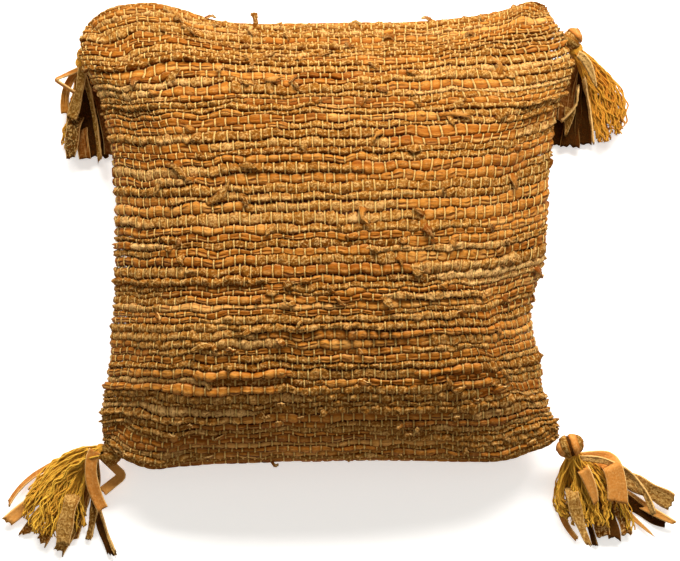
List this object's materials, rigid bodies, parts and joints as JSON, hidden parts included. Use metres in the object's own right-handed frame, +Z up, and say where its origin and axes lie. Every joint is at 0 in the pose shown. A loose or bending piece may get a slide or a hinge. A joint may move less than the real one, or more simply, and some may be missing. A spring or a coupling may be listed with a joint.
{
  "type": "leather cushion",
  "caption": "Square cushion with a cover handwoven from leather strips on a cotton warp, filled and crowned, with a yarn and leather tassel at each corner.",
  "frame": {"origin": "middle of the flat patch on the back that the cushion rests on", "axes": "+X to the right across the face, along the woven rows; +Y towards the top edge; +Z up, out of the face"},
  "size_m": [0.6609, 0.5364, 0.1396],
  "materials": {
    "woven_leather": "handwoven strips of caramel grain leather and olive suede, over a cotton warp",
    "smooth_leather": "caramel grain leather, soft sheen, pale cut edges",
    "suede_leather": "olive and brown suede, fibrous and matt",
    "cotton_warp": "thin cream cotton thread, matt",
    "tassel_yarn": "golden yellow crinkled cotton yarn, matt"
  },
  "bodies": {
    "root": {"cushion": "woven_leather", "tassel_bottom_left": "tassel_yarn", "tassel_bottom_right": "tassel_yarn", "tassel_top_left": "tassel_yarn", "tassel_top_right": "tassel_yarn", "tie_bottom_left": "tassel_yarn", "tie_bottom_right": "tassel_yarn", "tie_top_left": "tassel_yarn", "tie_top_right": "tassel_yarn"}
  },
  "joints": []
}
